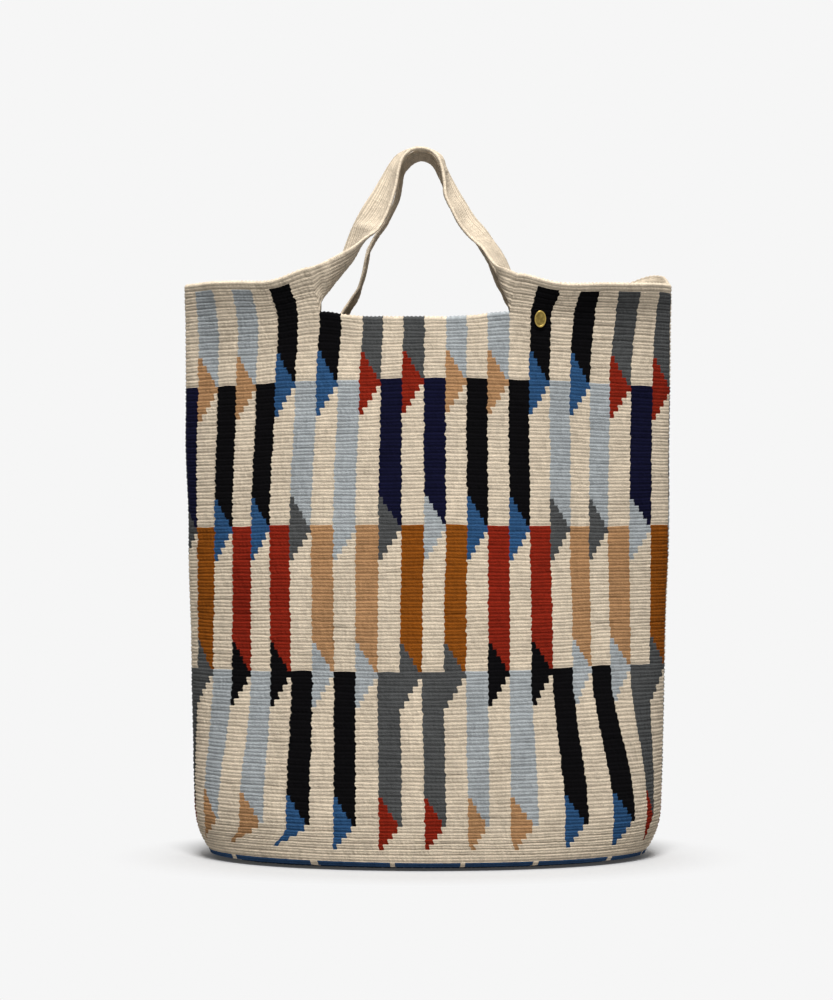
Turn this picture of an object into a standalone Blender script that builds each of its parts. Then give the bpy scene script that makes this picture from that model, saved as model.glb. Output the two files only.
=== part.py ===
"""A tapestry-crochet tote bag, standing on its base.

The bag is one piece of crochet: a base, an oval wall worked in the round, and a top band that stays on the
wall at the two sides and leaves it in front and behind as two handle straps. A small brass tag is on the front.
Metres, +Z up, the front faces -Y, and the origin is the middle of the base's underside.
"""

import math

import bmesh
import bpy
import numpy as np
from mathutils import Matrix, Vector

MM = 0.001

# Crochet: the stitches of a round, the rounds from the rim down to the base, and the cloth they make
STITCH_COUNT = 240
ROW_COUNT = 84
HANDLE_ROWS = 6
CLOTH_THICKNESS = 3.2 * MM
ROW_RIDGE = 0.7 * MM
RIDGE_PLACE = 0.6  # share of a row's height at which its ridge stands out

# Wall: heights, and the oval outline at the mouth and at the base
RIM_HEIGHT = 431 * MM
BASE_EDGE_HEIGHT = 3.5 * MM
MOUTH_HALF_WIDTH = 182.8 * MM
MOUTH_HALF_DEPTH = 50 * MM
BELLY_HALF_WIDTH = 174 * MM
BELLY_HALF_DEPTH = 82 * MM
BELLY_HEIGHT = 40 * MM  # the wall is deepest here and leans in evenly above
FULL_HEIGHT = 50 * MM  # below this the outline is a full oval
FLAT_HEIGHT = 210 * MM  # above this the outline is drawn flat towards its two ends
MOUTH_ROUNDNESS = 0.55
NARROWING_POWER = 1.6

# Lower edge: the wall is tucked in towards the base, more at the two ends than in front
END_TUCK = 14 * MM
END_TUCK_HEIGHT = 45 * MM
FRONT_TUCK = 4 * MM
FRONT_TUCK_HEIGHT = 22 * MM
TUCK_POWER = 2.4
BASE_EDGE_INSET = 1.6 * MM
BASE_FLAT_INSET = 5 * MM
FLOOR_INSET = 6 * MM

# Openings under the straps, in stitches counted from the first bar at the front left
FRONT_MIDDLE_STITCH = 56
FRONT_OPENING = (30, 75)
BACK_OPENING = (155, 200)

# The straps lift the rim and the opening's edge at each corner, and the rows beside it a little
FRONT_PULL = ((9 * MM, 4 * MM), (3 * MM, 3 * MM))
BACK_PULL = ((5 * MM, 3 * MM), (5 * MM, 3 * MM))
PULL_REACH_STITCHES = 9
PULL_REACH_ROWS = 9

# Handle straps: the crown's height over the rim, and how far each end's direction carries into the strap
HANDLE_ROW = 4.7 * MM
CROWN_RISE = 97 * MM
CROWN_X = -6 * MM
CROWN_GAP = 2 * MM
CROWN_REACH = 28 * MM
FRONT_ROOT_REACH = ((37 * MM, 14 * MM), (26 * MM, 6 * MM))
BACK_ROOT_REACH = ((46 * MM, 1 * MM), (39 * MM, 3 * MM))

# Twist of a strap in degrees: along its legs, at the crown, and the share of a leg in which it builds up
FRONT_TWIST = (125, 95)
FRONT_TWIST_SHARE = (0.45, 0.36)
BACK_TWIST = (92, 102)
BACK_TWIST_SHARE = (0.3, 0.3)
CROWN_SHARE = 0.3

# Brass tag
TAG_WIDTH = 8.6 * MM
TAG_HEIGHT = 12.4 * MM
TAG_THICKNESS = 1.1 * MM
TAG_RIM_WIDTH = 0.9 * MM
TAG_RECESS = 0.35 * MM
TAG_STITCH = 82.3
TAG_ROW = 6.3
TAG_CLEARANCE = 0.35 * MM

# Fineness of the mesh
SIDE_SEGMENTS = 4
OPENING_SEGMENTS = 5
INNER_LEVELS = 8
LEG_SEGMENTS = 12
ROOT_FINENESS = 1.4  # above 1 the cross-sections of a leg lie closer together near its corner
OUTLINE_SAMPLES = 720
SMALL_TURN = 0.01
TAG_SIDES = 40

# What follows from the sizes above
ROW_HEIGHT = (RIM_HEIGHT - BASE_EDGE_HEIGHT) / ROW_COUNT
HANDLE_WIDTH = HANDLE_ROWS * HANDLE_ROW
ROOM_BELOW_HANDLE = ROW_COUNT - HANDLE_ROWS


def smooth(x):
    """Smooth step from 0 to 1."""
    x = np.clip(x, 0.0, 1.0)
    return x * x * (3 - 2 * x)


def mix(a, b, share):
    return a + (b - a) * share


def tuck(height, amount, reach):
    """How far the wall is tucked in at this height above the ground."""
    return amount * np.clip(1 - height / reach, 0, 1) ** TUCK_POWER


def half_width(height):
    share = np.clip(1 - height / RIM_HEIGHT, 0, 1) ** NARROWING_POWER
    return mix(MOUTH_HALF_WIDTH, BELLY_HALF_WIDTH, share) - tuck(height, END_TUCK, END_TUCK_HEIGHT)


def flatness(height):
    """0 where the outline is a full oval, 1 where it is drawn flat."""
    return smooth((height - FULL_HEIGHT) / (FLAT_HEIGHT - FULL_HEIGHT))


def half_depth(height):
    share = np.clip((height - BELLY_HEIGHT) / (RIM_HEIGHT - BELLY_HEIGHT), 0, 1)
    depth = mix(BELLY_HALF_DEPTH, MOUTH_HALF_DEPTH, share)
    return depth - tuck(height, FRONT_TUCK, FRONT_TUCK_HEIGHT)


def outline(turn, height, offset=0.0):
    """X and Y of the wall; `turn` goes from the left end over the front (0 to pi) and back behind (to 2 pi).

    The half-depth follows sin * (r + (1 - r) * sin), which is an oval where the roundness r is 1 and comes to
    narrow ends where it is less. The offset is along the outline's own normal, outwards.
    """
    a, b = half_width(height), half_depth(height)
    r = mix(1.0, MOUTH_ROUNDNESS, flatness(height))
    s, c = np.sin(turn), np.cos(turn)
    x, y = -a * c, -b * s * (r + (1 - r) * np.abs(s))
    nx, ny = -b * c * (r + 2 * (1 - r) * np.abs(s)), -a * s
    size = np.hypot(nx, ny)
    return x + offset * nx / size, y + offset * ny / size


def turn_of(stitch):
    """The turn at which a stitch stands, with equal stitches along the mouth's outline."""
    turns = np.linspace(0, 2 * math.pi, OUTLINE_SAMPLES + 1)
    x, y = outline(turns, RIM_HEIGHT)
    length = np.concatenate([[0], np.cumsum(np.hypot(np.diff(x), np.diff(y)))])
    share = (stitch - FRONT_MIDDLE_STITCH) / STITCH_COUNT + 0.25
    return float(np.interp((share % 1) * length[-1], length, turns))


def stitch_of(turn):
    """The stitch that stands at a turn, the other way round."""
    turns = np.linspace(0, 2 * math.pi, OUTLINE_SAMPLES + 1)
    x, y = outline(turns, RIM_HEIGHT)
    length = np.concatenate([[0], np.cumsum(np.hypot(np.diff(x), np.diff(y)))])
    share = np.interp(turn, turns, length) / length[-1]
    return FRONT_MIDDLE_STITCH + (share - 0.25) * STITCH_COUNT


def column_turns():
    """Turns of the mesh's columns, and which of the segments between them lie under a strap."""
    stops = [0.0, *map(turn_of, FRONT_OPENING), math.pi, *map(turn_of, BACK_OPENING), 2 * math.pi]
    counts = [SIDE_SEGMENTS, OPENING_SEGMENTS, SIDE_SEGMENTS] * 2
    turns, opened = [], []
    for first, last, count, place in zip(stops, stops[1:], counts, range(len(counts))):
        turns += list(np.linspace(first, last, count, endpoint=False))
        opened += [place % 3 == 1] * count
    return np.array(turns), opened


def pull(turn, row):
    """How far the straps lift a row, counted from the rim, near the openings' corners."""
    lift = 0.0
    for corner, (rim, edge) in zip((*FRONT_OPENING, *BACK_OPENING), (*FRONT_PULL, *BACK_PULL)):
        away = (stitch_of(turn) - corner + STITCH_COUNT / 2) % STITCH_COUNT - STITCH_COUNT / 2
        near = math.exp(-((away / PULL_REACH_STITCHES) ** 2))
        if row < HANDLE_ROWS:
            lift += near * mix(rim, edge, row / HANDLE_ROWS)
        else:
            lift += near * edge * float(smooth(1 - (row - HANDLE_ROWS) / PULL_REACH_ROWS))
    return lift


def wall_point(turn, row, offset):
    """A point of the wall at a row counted from the rim down."""
    height = RIM_HEIGHT - row * ROW_HEIGHT
    x, y = outline(turn, height, offset)
    return Vector((x, y, height + pull(turn, row)))


def half_rows(top, bottom):
    """Row positions from bottom to top: each row's lower groove and its ridge, then the top edge."""
    places = []
    for row in range(bottom, top, -1):
        places += [(row, 0.0), (row - RIDGE_PLACE, ROW_RIDGE)]
    return [*places, (top, 0.0)]


def inner_rows():
    """Row positions of the inner face: from the floor to the opening's edge, the band's middle and the rim."""
    below = np.linspace(ROW_COUNT - 2, HANDLE_ROWS, INNER_LEVELS)
    return [*below, HANDLE_ROWS / 2, 0]


def bezier(points, t):
    """Point and direction on a cubic Bezier curve."""
    p0, p1, p2, p3 = points
    u = 1 - t
    place = p0 * u**3 + p1 * (3 * u * u * t) + p2 * (3 * u * t * t) + p3 * t**3
    ahead = (p1 - p0) * (3 * u * u) + (p2 - p1) * (6 * u * t) + (p3 - p2) * (3 * t * t)
    return place, ahead.normalized()


def strap_leg(corner, crown, reach, side):
    """The centre line of one leg, from the middle of the band at the opening's corner to the crown.

    `side` is -1 for a leg that rises to the right and 1 for one that rises to the left.
    """
    turn = turn_of(corner)
    rim, edge = wall_point(turn, 0, -CLOTH_THICKNESS / 2), wall_point(turn, HANDLE_ROWS, -CLOTH_THICKNESS / 2)
    root = (rim + edge) / 2
    ahead = np.array(outline(turn + SMALL_TURN, RIM_HEIGHT)) - outline(turn - SMALL_TURN, RIM_HEIGHT)
    along = Vector((*ahead, 0)).normalized() * -np.sign(ahead[0] * side)
    out, up = reach
    return [root, root + along * out + Vector((0, 0, up)), crown + Vector((side * CROWN_REACH, 0, 0)), crown]


def strap_ring(line, t, twist, upright, face, direction):
    """One cross-section of a strap: its ridged outer face from the lower to the rim edge, then its inner face.

    The strap's width starts upright at the corner, comes square to the leg as `upright` falls to 0, and turns
    by the twist about the leg. `face` is -1 for the front strap, whose outer face looks to -Y before it twists,
    and 1 for the back one.
    """
    centre, ahead = bezier(line, t)
    ahead = ahead * direction
    square = ahead.cross(Vector((0, 1, 0))).normalized()
    above = square.lerp(Vector((0, 0, 1)), upright).normalized()
    angle = math.radians(twist)
    across = above * math.cos(angle) + Vector((0, face * math.sin(angle), 0))
    outwards = (ahead.cross(across) * -face).normalized()
    half = CLOTH_THICKNESS / 2
    places = [(row, half + ridge) for row, ridge in half_rows(0, HANDLE_ROWS)]
    places += [(row, -half) for row in (0, HANDLE_ROWS / 2, HANDLE_ROWS)]
    return [centre + across * ((HANDLE_ROWS / 2 - row) * HANDLE_ROW) + outwards * proud for row, proud in places]


def strap_rings(opening, reaches, twists, shares, face):
    """Cross-sections of a strap from its left to its right corner, without the two at the corners."""
    left, right = opening
    leg_twist, crown_twist = twists
    crown = Vector((CROWN_X, face * (HANDLE_WIDTH + CROWN_GAP) / 2, RIM_HEIGHT + CROWN_RISE))
    legs = []
    for corner, reach, share, side in ((left, reaches[0], shares[0], -1), (right, reaches[1], shares[1], 1)):
        line = strap_leg(corner, crown, reach, side)
        rings = []
        for step in range(1, LEG_SEGMENTS + 1):
            t = (step / LEG_SEGMENTS) ** ROOT_FINENESS
            at_crown = smooth((t - 1 + CROWN_SHARE) / CROWN_SHARE)
            twist = mix(leg_twist * smooth(t / share), crown_twist, at_crown)
            rings.append(strap_ring(line, t, twist, 1 - smooth(t / share), face, -side))
        legs.append(rings)
    return legs[0] + legs[1][-2::-1]


def add_bag():
    """The crocheted bag as one closed solid."""
    turns, opened = column_turns()
    columns = range(len(turns))
    mesh = bmesh.new()
    outer_rows = half_rows(0, ROW_COUNT)
    inner = inner_rows()
    edge_ring = 2 * ROOM_BELOW_HANDLE
    edge_level = INNER_LEVELS - 1

    def on_side(column):
        return not (opened[column] and opened[column - 1])

    outer_verts, inner_verts = {}, {}
    for ring, (row, ridge) in enumerate(outer_rows):
        for column in columns:
            if ring <= edge_ring or on_side(column):
                outer_verts[ring, column] = mesh.verts.new(wall_point(turns[column], row, ridge))
    for level, row in enumerate(inner):
        for column in columns:
            if level <= edge_level or on_side(column):
                inner_verts[level, column] = mesh.verts.new(wall_point(turns[column], row, -CLOTH_THICKNESS))

    def sheet(verts, count, last_open):
        for ring in range(count - 1):
            for column in columns:
                if ring < last_open or not opened[column]:
                    after = (column + 1) % len(turns)
                    mesh.faces.new((verts[ring, column], verts[ring, after],
                                    verts[ring + 1, after], verts[ring + 1, column]))

    sheet(outer_verts, len(outer_rows), edge_ring)
    sheet(inner_verts, len(inner), edge_level)

    for column in columns:
        after = (column + 1) % len(turns)
        ring, level = (edge_ring, edge_level) if opened[column] else (len(outer_rows) - 1, len(inner) - 1)
        mesh.faces.new((outer_verts[ring, column], outer_verts[ring, after],
                        inner_verts[level, after], inner_verts[level, column]))

    def close_with_disc(edge, rings, middle):
        """Rings of (height, inset) from an edge inwards, then a fan around the middle."""
        faces = []
        for height, inset in rings:
            places = [(*outline(turns[column], BASE_EDGE_HEIGHT, -inset), height) for column in columns]
            inside = [mesh.verts.new(place) for place in places]
            for column in columns:
                after = (column + 1) % len(turns)
                faces.append(mesh.faces.new((edge[column], edge[after], inside[after], inside[column])))
            edge = inside
        centre = mesh.verts.new((0, 0, middle))
        for column in columns:
            faces.append(mesh.faces.new((edge[column], edge[(column + 1) % len(turns)], centre)))
        return faces

    base_faces = close_with_disc([outer_verts[0, column] for column in columns],
                                 [(BASE_EDGE_HEIGHT / 3, BASE_EDGE_INSET), (0, BASE_FLAT_INSET)], 0)
    close_with_disc([inner_verts[0, column] for column in columns],
                    [(CLOTH_THICKNESS, CLOTH_THICKNESS + FLOOR_INSET)], CLOTH_THICKNESS)

    def corner_ring(stitch):
        column = int(np.argmin(np.abs(turns - turn_of(stitch))))
        band = [outer_verts[ring, column] for ring in range(edge_ring, len(outer_rows))]
        return band + [inner_verts[level, column] for level in range(len(inner) - 1, edge_level - 1, -1)]

    straps = ((FRONT_OPENING, FRONT_ROOT_REACH, FRONT_TWIST, FRONT_TWIST_SHARE, -1),
              (BACK_OPENING[::-1], BACK_ROOT_REACH, BACK_TWIST, BACK_TWIST_SHARE, 1))
    for opening, reaches, twists, shares, face in straps:
        between = [[mesh.verts.new(place) for place in ring]
                   for ring in strap_rings(opening, reaches, twists, shares, face)]
        rings = [corner_ring(opening[0]), *between, corner_ring(opening[1])]
        for ring, beyond in zip(rings, rings[1:]):
            for place in range(len(ring)):
                last = place - 1
                mesh.faces.new((ring[last], ring[place], beyond[place], beyond[last]))

    for face in base_faces:
        face.material_index = 1
    bmesh.ops.recalc_face_normals(mesh, faces=mesh.faces)
    return add_object("crocheted_bag", mesh, [cream_cotton(), blue_cotton()])


def tag_frame():
    """Where the tag lies: on the wall's faceted front, with its back clear of the ridges."""
    turns, _ = column_turns()
    turn = turn_of(TAG_STITCH)
    column = int(np.searchsorted(turns, turn)) - 1
    first, last = turns[column], turns[(column + 1) % len(turns)]
    share = (turn - first) / (last - first)
    reach = TAG_HEIGHT / 2 / ROW_HEIGHT

    def on_ridge(row):
        return wall_point(first, row, ROW_RIDGE).lerp(wall_point(last, row, ROW_RIDGE), share)

    upper, lower = on_ridge(TAG_ROW - reach), on_ridge(TAG_ROW + reach)
    up = (upper - lower).normalized()
    along = (wall_point(last, TAG_ROW, ROW_RIDGE) - wall_point(first, TAG_ROW, ROW_RIDGE)).normalized()
    out = along.cross(up).normalized()
    right = up.cross(out)
    middle = (upper + lower) / 2
    proud = max((on_ridge(row) - middle).dot(out) for row in np.linspace(TAG_ROW - reach, TAG_ROW + reach, 9))
    place = middle + out * (proud + TAG_CLEARANCE)
    return Matrix((right, up, out)).transposed().to_4x4(), place


def add_tag():
    """An oval plate with a raised rim, its back flat."""
    mesh = bmesh.new()
    bmesh.ops.create_circle(mesh, cap_ends=True, segments=TAG_SIDES, radius=0.5)
    bmesh.ops.scale(mesh, verts=mesh.verts, vec=(TAG_WIDTH, TAG_HEIGHT, 1))
    raised = bmesh.ops.extrude_face_region(mesh, geom=mesh.faces[:])
    top = [item for item in raised["geom"] if isinstance(item, bmesh.types.BMVert)]
    bmesh.ops.translate(mesh, verts=top, vec=(0, 0, TAG_THICKNESS))
    cap = [item for item in raised["geom"] if isinstance(item, bmesh.types.BMFace)]
    bmesh.ops.inset_region(mesh, faces=cap, thickness=TAG_RIM_WIDTH / 2)
    bmesh.ops.inset_region(mesh, faces=cap, thickness=TAG_RIM_WIDTH / 2, depth=-TAG_RECESS)
    bmesh.ops.recalc_face_normals(mesh, faces=mesh.faces)
    tag = add_object("brass_tag", mesh, [brass()])
    turned, place = tag_frame()
    tag.matrix_world = Matrix.Translation(place) @ turned
    return tag


def principled(name, colour, roughness, metallic=0.0):
    material = bpy.data.materials.new(name)
    material.use_nodes = True
    shader = material.node_tree.nodes["Principled BSDF"]
    shader.inputs["Base Color"].default_value = (*colour, 1)
    shader.inputs["Roughness"].default_value = roughness
    shader.inputs["Metallic"].default_value = metallic
    return material


def cream_cotton():
    return principled("cream_cotton", (0.65, 0.56, 0.44), 0.9)


def blue_cotton():
    return principled("blue_cotton", (0.03, 0.09, 0.23), 0.9)


def brass():
    return principled("brass", (0.55, 0.44, 0.18), 0.35, 1.0)


def add_object(name, mesh, materials):
    data = bpy.data.meshes.new(name)
    mesh.to_mesh(data)
    mesh.free()
    for material in materials:
        data.materials.append(material)
    data.shade_smooth()
    data.set_sharp_from_angle(angle=math.radians(40))
    made = bpy.data.objects.new(name, data)
    bpy.context.scene.collection.objects.link(made)
    return made


def main():
    for old in list(bpy.data.objects):
        bpy.data.objects.remove(old)
    add_bag()
    add_tag()


main()
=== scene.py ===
import math

import bmesh
import bpy
import numpy as np
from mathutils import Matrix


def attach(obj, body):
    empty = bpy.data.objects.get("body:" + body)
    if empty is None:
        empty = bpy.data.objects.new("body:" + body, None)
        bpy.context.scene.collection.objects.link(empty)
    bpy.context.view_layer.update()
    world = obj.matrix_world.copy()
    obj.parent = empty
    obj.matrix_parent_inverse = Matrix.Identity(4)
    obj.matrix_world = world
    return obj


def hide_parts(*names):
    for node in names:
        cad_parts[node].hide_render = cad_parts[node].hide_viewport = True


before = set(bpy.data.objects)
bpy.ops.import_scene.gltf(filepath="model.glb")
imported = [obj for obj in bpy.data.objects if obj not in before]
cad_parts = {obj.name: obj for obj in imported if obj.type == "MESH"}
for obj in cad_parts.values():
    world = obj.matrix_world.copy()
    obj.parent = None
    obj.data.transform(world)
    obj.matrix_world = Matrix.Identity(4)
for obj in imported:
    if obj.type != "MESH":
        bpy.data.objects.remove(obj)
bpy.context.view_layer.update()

bl_info = {
    "name": "Crocheted tote bag",
    "version": (1, 0, 0),
    "blender": (4, 5, 0),
    "location": "3D View > Sidebar > Crochet bag",
    "description": "Dresses the packed tote bag in stitches, yarn and brass, and sets a plain studio",
    "category": "Object",
}

MM = 0.001
HAIR = 1e-6
SEAM_REACH = 2e-5

# Crochet: stitches of a round, rounds from the rim down, and the band that becomes the straps
STITCH_COUNT = 240
ROW_COUNT = 84
HANDLE_ROWS = 6
FRONT_MIDDLE_STITCH = 56
LEFT_END_STITCH = FRONT_MIDDLE_STITCH - STITCH_COUNT // 4
RIGHT_END_STITCH = FRONT_MIDDLE_STITCH + STITCH_COUNT // 4
FRONT_OPENING = (30, 75)
BACK_OPENING = (155, 208)

# Wall outline: height of its lower edge, heights from which its depth and its roundness shrink, and at which
# its roundness has reached the mouth's
BASE_EDGE_HEIGHT = 3.5 * MM
BELLY_HEIGHT = 40 * MM
FULL_HEIGHT = 50 * MM
FLAT_HEIGHT = 210 * MM
MOUTH_ROUNDNESS = 0.55
NARROWING_POWER = 1.6
OUTLINE_SAMPLES = 2880

# Tuck near the ground, at the ends and at the front: how far in, and up to which height
END_TUCK = (15 * MM, 42 * MM)
FRONT_TUCK = (1 * MM, 15 * MM)
TUCK_POWER = 2.4

# Flare of the rim beside the straps: its rows, the stitches between which there is none, and its slopes
FLARE_ROWS = 12
FLARE_POWER = 2.0
FLARE_STITCHES = (41, 64)
FLARE_RISE = 12
FLARE_END_RISE = 11

# Lift of the rim and of the opening's edge at each corner, and how far it reaches
CORNER_PULL = {30: (10.5 * MM, 4 * MM), 75: (5 * MM, 3 * MM),
               155: (5 * MM, 3 * MM), 208: (5 * MM, 3 * MM)}
PULL_REACH_STITCHES = 7
PULL_REACH_ROWS = 9

# Straps: height of a row, and stations in millimetres from left to right, each with a point of the rim edge
# and one of the opening edge
HANDLE_ROW = 4.7 * MM
STRAPS = {
    "front": {"corners": (30, 75), "face": -1, "stations": (
        (-76, -57, 440, -78, -46, 415), (-70, -55, 443, -74, -39, 422), (-63, -52, 447, -69.5, -32, 433),
        (-55, -49, 452, -64, -26, 446), (-47, -46, 459, -60, -22, 458), (-38, -43, 466, -55, -21, 471),
        (-32, -39, 476, -48, -19, 484), (-27, -37, 489, -40, -15, 497), (-24, -35, 500, -34, -11, 508),
        (-22, -33, 511, -28, -7, 519), (-19, -31, 520.5, -22.5, -4, 526), (-13, -30, 526.5, -15, -2, 530),
        (-6, -30, 528, -6, -2, 531), (1, -30, 526.5, 3, -2, 529.5), (7, -31, 521.5, 10, -3, 525),
        (10, -32, 514, 13, -4, 517), (12, -34, 503, 17, -7, 508), (13, -36, 492, 22, -11, 498),
        (18, -38, 481, 28, -13, 488), (23, -40, 471, 34, -16, 478), (30, -42, 462, 42.5, -18, 468),
        (35, -45, 457, 48, -20, 460), (40, -49, 452, 53.5, -23, 452), (45, -53, 444, 58, -27, 443),
        (50, -56, 438, 61.5, -32, 432), (56, -58, 435, 63, -42, 418))},
    "back": {"corners": (208, 155), "face": 1, "stations": (
        (-87, 58, 422, -86, 44, 404), (-83, 55, 411, -81, 36, 404), (-77, 53, 407, -75, 28, 403),
        (-69, 49, 408, -67, 23, 406), (-63, 46, 416, -62, 19, 413), (-58, 44, 423, -57, 17, 421),
        (-53, 44, 431, -52, 16, 429), (-50.5, 43, 438, -50, 15, 436), (-49, 43, 445, -48, 15, 443),
        (-47.5, 42, 452, -47, 14, 450), (-46, 42, 459, -45, 14, 456), (-43, 41, 465, -42, 13, 463),
        (-39, 40, 471, -38.5, 12, 469), (-34, 39, 478, -33, 11, 476), (-29, 37, 487, -28.5, 9, 485),
        (-24, 35, 497, -24, 7, 496), (-21.5, 33, 508, -22, 5, 509), (-19, 31, 517, -20.5, 3, 519),
        (-13, 30, 524, -15, 2, 526.5), (-5, 29, 527.5, -5, 1, 530), (1, 30, 526, 1.5, 2, 528.5),
        (6, 31, 522, 6.5, 3, 523), (10, 32, 515, 10, 4, 515.5), (14, 34, 507, 14, 6, 506),
        (19, 36, 498, 18.5, 8, 496), (25, 38, 488, 24.5, 10, 486), (31, 40, 478, 30.5, 12, 476),
        (38, 42, 467, 37, 14, 465), (44, 44, 458, 43, 16, 456), (50, 48, 447, 49, 20, 445),
        (56, 52, 437, 56, 25, 434), (63, 56, 430, 64, 32, 423), (66, 58, 430, 67, 41, 414))},
}
ROOT_BLEND = 0.05
STRAP_THICKNESS = 2.2 * MM
STRAP_OUTER_RELIEF = 0.7
STRAP_INNER_RELIEF = 0.45

# One row from its top: sample places, the height of the surface there, and how much shade is painted into
# the yarn's colour there, most in the groove
ROW_PLACES = np.array([0.0, 0.13, 0.3, 0.5, 0.68, 0.86])
ROW_RELIEF = np.array([0.1, 0.5, -0.12, 0.46, 0.12, -0.26]) * MM
ROW_SHADE = np.array([0.4, 0.0, 0.9, 0.0, 0.4, 1.0])
STITCH_SWELL = np.array([0.06, 0.11, 0.08, 0.14, 0.12, 0.06]) * MM
STITCH_LEAN = 0.38
STITCH_STEPS = 4
CREST = ROW_PLACES[1]

# Rolled edges: rise over the cloth's end, bead of each stitch, points, and place on the cloth map, which
# also sets the shade painted on them
EDGE_RISE = 1.5 * MM
EDGE_BEAD = 0.22
EDGE_POINTS = 6
EDGE_ROW_SPAN = (0.1, 0.3)

# Inner face: rows at which it is divided, sample places of a row, share of the outer relief
LINING_CUTS = (0, 6, 45, 83)
LINING_PLACES = ROW_PLACES[[0, 1, 3, 5]]
LINING_RELIEF = 0.6

# Base and floor: rounds, height profile of the base from its edge inwards, swell of the edge, relief
BASE_ROUNDS = 16
FLOOR_ROUNDS = 15
EDGE_PROFILE = ((0, 0.25, 0.5, 1.0, 1.75, 2.5, 3.2), (1, 0.8, 0.55, 0.33, 0.22, 0.1, 0))
EDGE_SWELL = 1.0 * MM
EDGE_ROLL_ROWS = 0.9
SOLE_CREST = 0.9 * MM
SOLE_GROOVE = 0.6 * MM
SOLE_RELIEF = 0.8
SOLE_START = 0.6

# Lattices of random values: rows of the soft noise, how many of them lie above the rim, and how many more
# rows than the wall the lattice of single stitches has
NOISE_ROWS = 200
NOISE_ROWS_ABOVE = 20
SPARE_ROWS = 40

# Layers of soft noise: strength, cell in stitches across and rows down, seed
THICKNESS_LAYERS = ((0.22, 3, 1, 5),)
SLACK_LAYERS = ((1.0, 20, 14, 11), (0.5, 8, 9, 12))
WAVER_LAYERS = ((0.28 * MM, 2.5, 0.5, 20), (0.5 * MM, 16, 10, 22))
ROW_WAVER_LAYERS = ((0.32 * MM, 7, 1, 21),)
ROW_SIDE_LAYERS = ((0.16, 6, 1, 31),)
TONE_LAYERS = ((0.5, 6, 4, 42),)

# Single stitches: strength of their uneven height and of their uneven dye, and the seeds
STITCH_UNEVEN = 0.22 * MM
STITCH_UNEVEN_SEED = 3
STITCH_TONE = 0.6
STITCH_TONE_SEED = 41

# Rows over which slack and waver come and go at the rim and at the base
SLACK_FADE = (5, 8)
WAVER_FADE = (1.5, 2)

# Rows at which the wall is divided into pieces that meet in the grooves
WALL_CUTS = (0, 6, 22, 38, 54, 70, 84)

# Drift of the rows in millimetres, at stitches from the left end to the right end and at rows from the rim
DRIFT_STITCHES = (-4, 3, 10, 25, 35, 56, 75, 85, 100, 116)
DRIFT_ROWS = (0, 6, 15, 36, 57, 78, 84)
DRIFT = (
    (-3.3, -3.3, -3.6, -6.0, -4.5, 0.0, -4.5, -6.5, -5.0, -3.0),
    (-1.5, -1.2, -0.8, 0.0, 0.0, 0.0, 0.0, 0.0, -0.8, -1.2),
    (-3.8, -3.2, -2.4, 0.0, 0.6, 2.3, 1.0, 0.5, -1.8, -2.6),
    (-0.8, -0.4, 0.0, 1.2, 1.4, 2.0, 1.2, 0.8, 0.3, 0.8),
    (0.8, 1.2, 1.6, 2.2, 2.2, 2.2, 3.6, 4.2, 5.0, 4.6),
    (-0.6, -1.0, -1.4, -1.4, -1.6, -2.2, -2.2, -2.2, -2.2, -1.6),
    (3.4, 3.4, 3.4, 3.4, 3.2, 2.8, 2.8, 2.8, 2.8, 3.0),
)

# Drift of the columns in stitches to the right, at the same stitches and rows
SIDE_DRIFT = (
    (0.0, 2.2, 1.8, 0.3, 0.1, -0.5, 0.2, 0.2, -1.3, 0.0),
    (0.0, 2.2, 2.2, 1.6, 1.3, 0.2, -0.8, -1.3, -1.0, 0.0),
    (0.0, 1.6, 1.2, 0.5, 0.4, 0.0, -0.8, -1.3, -1.8, 0.0),
    (0.0, 0.2, 0.0, -0.9, -0.7, 0.0, -0.5, -0.9, -1.9, 0.0),
    (0.0, -0.9, -0.7, -0.9, -0.8, -0.5, -0.3, -0.2, -1.0, 0.0),
    (0.0, -4.2, -5.2, -2.6, -1.1, 0.1, 0.2, 3.3, 6.3, 0.0),
    (0.0, -5.8, -10.5, -8.6, -2.4, 0.4, 2.4, 5.0, 7.8, 0.0),
)

# Behind the right side panel the rim stands higher: how much, at which stitch, reach and fade
BACK_RIM_LIFT = 9.5 * MM
BACK_RIM_PLACE = 109
BACK_RIM_REACH = 7
BACK_RIM_FADE = 3

# Bars: stitches of a bar, rows at which the four bands start and end, rows over which a triangle grows, and
# bars of a round in one band
BAR = 5
BAND_ROWS = (1, 15, 36, 57, 78)
TRIANGLE_RISE = 4
BARS_ROUND = STITCH_COUNT // (2 * BAR)

YARNS = ("cream", "black", "navy", "light_blue", "mid_blue", "dark_grey", "rust", "sand", "ochre",
         "base_blue")
YARN = {name: place for place, name in enumerate(YARNS)}

# Colours of the bars of each band, which repeat after six bars, and of the triangles that grow from them
BAND_BARS = (
    ("light_blue", "light_blue", "black", "black", "dark_grey", "dark_grey"),
    ("black", "black", "light_blue", "light_blue", "navy", "navy"),
    ("ochre", "rust", "rust", "sand", "sand", "ochre"),
    ("light_blue", "light_blue", "black", "black", "dark_grey", "dark_grey"),
)
BAND_TRIANGLES = (
    {"light_blue": "sand", "black": "mid_blue", "dark_grey": "rust"},
    {"black": "mid_blue", "light_blue": "dark_grey", "navy": "light_blue"},
    {"ochre": "dark_grey", "rust": "black", "sand": "light_blue"},
    {"light_blue": "sand", "black": "mid_blue", "dark_grey": "rust"},
)

# Triangles of the second band that break the rule, by the number of their bar
ODD_TRIANGLES = {3: "light_blue", 4: "dark_grey", 23: "dark_grey"}

# Stitches beside the openings that stay cream over the rows of the straps
CREAM_CORNERS = ((25, 30), (75, 80), (150, 155), (208, 215))

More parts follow.
